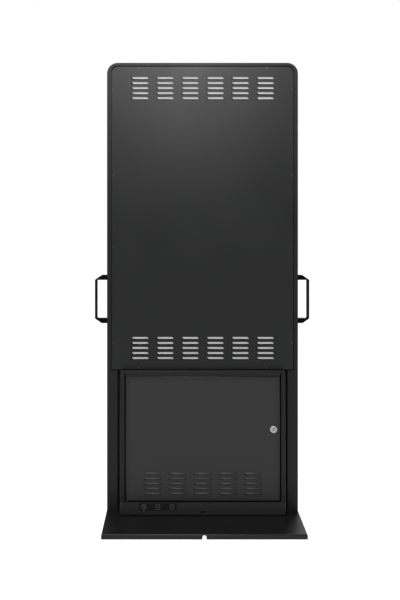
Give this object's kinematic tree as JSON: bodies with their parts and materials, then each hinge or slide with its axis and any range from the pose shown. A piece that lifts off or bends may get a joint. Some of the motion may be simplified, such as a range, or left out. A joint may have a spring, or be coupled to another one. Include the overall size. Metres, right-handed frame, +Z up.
{
  "type": "touchscreen kiosk",
  "caption": "Portrait floor-standing touchscreen kiosk in black sheet steel with vented rear cover, lockable rear equipment cabinet, side handles and flat floor plate.",
  "frame": {"origin": "on the floor, under the middle of the floor plate", "axes": "+Z up; the touchscreen faces -Y and the service side with the vented cover and cabinet faces +Y; +X is the door's hinge side"},
  "size_m": [0.9114, 0.518, 1.9],
  "materials": {
    "case_black": "satin powder coat, fine texture",
    "cover_black": "satin powder coat, fine texture",
    "door_black": "satin powder coat, fine texture",
    "front_black": "satin powder coat",
    "plate_black": "satin powder coat",
    "zinc_plated": "bright zinc plate",
    "chrome_lock": "polished chrome plate",
    "black_screw": "blackened steel",
    "bare_steel": "mill finish",
    "galvanised": "galvanised sheet",
    "rubber_black": "moulded rubber",
    "glass_dark": "tempered, polished",
    "plastic_black": "fine moulded texture",
    "screen_back": "black picture, metal back",
    "filter_white": "non-woven filter mat",
    "handle_black": "semi-gloss black",
    "rocker_red": "moulded",
    "cable_black": "extruded sheath",
    "device_grey": "anodised"
  },
  "bodies": {
    "kiosk": {"base_plate": "plate_black", "base_ballast": "bare_steel", "base_feet": "rubber_black", "base_bolts": "zinc_plated", "earth_stud": "black_screw", "outer_case": "case_black", "rear_rim": "case_black", "inner_frame": "galvanised", "front_bezel": "front_black", "lower_front_panel": "front_black", "touch_frame": "plastic_black", "touch_glass": "glass_dark", "screen_gasket": "rubber_black", "lcd_module": "screen_back", "display_screws": "zinc_plated", "display_controller": "galvanised", "touch_controller": "plastic_black", "rear_cover": "cover_black", "cover_stiffeners": "galvanised", "cover_screws": "black_screw", "filter_holder_upper": "plastic_black", "filter_holder_lower": "plastic_black", "filter_mat_upper": "filter_white", "filter_mat_lower": "filter_white", "fan_bracket": "galvanised", "fan_housings": "plastic_black", "cabinet_box": "case_black", "cabinet_frame": "case_black", "cabinet_rail": "case_black", "hinge_bracket": "zinc_plated", "hinge_pins": "black_screw", "port_ethernet": "plastic_black", "port_usb_left": "plastic_black", "port_usb_right": "plastic_black", "socket_panel": "plastic_black", "panel_nuts": "zinc_plated", "harness_grommets": "rubber_black", "floor_grommet": "rubber_black", "media_player": "device_grey", "player_bracket": "galvanised", "power_supply": "galvanised", "mains_inlet": "plastic_black", "switch_body": "plastic_black", "signal_harness": "cable_black", "power_harness": "cable_black", "handle_left": "handle_black", "handle_right": "handle_black", "handle_bolts": "zinc_plated"},
    "door": {"cabinet_door": "door_black", "door_stiffener": "door_black", "door_bushes": "plastic_black", "lock_body": "chrome_lock", "lock_nut": "zinc_plated"},
    "lock_rotor": {"lock_plug": "chrome_lock", "lock_cam": "zinc_plated", "cam_screw": "zinc_plated"},
    "fan_left": {"fan_rotor_left": "plastic_black"},
    "fan_right": {"fan_rotor_right": "plastic_black"},
    "rocker": {"power_rocker": "rocker_red"}
  },
  "joints": [
    {"name": "door_hinge", "type": "hinge", "parent": "kiosk", "child": "door", "pos_m": [0.313, 0.079, 0.339], "axis": [0, 0, -1], "range_deg": [0, 110]},
    {"name": "lock_turn", "type": "hinge", "parent": "door", "child": "lock_rotor", "pos_m": [-0.292, 0.079, 0.377], "axis": [0, 1, 0], "range_deg": [0, 90]},
    {"name": "fan_left_spin", "type": "hinge", "parent": "kiosk", "child": "fan_left", "pos_m": [0.1575, 0.022, 1.795], "axis": [0, 1, 0], "continuous": true},
    {"name": "fan_right_spin", "type": "hinge", "parent": "kiosk", "child": "fan_right", "pos_m": [-0.1575, 0.022, 1.795], "axis": [0, 1, 0], "continuous": true},
    {"name": "power_switch", "type": "hinge", "parent": "kiosk", "child": "rocker", "pos_m": [0.195, 0.008, 0.21], "axis": [1, 0, 0], "range_deg": [0, 20]}
  ]
}
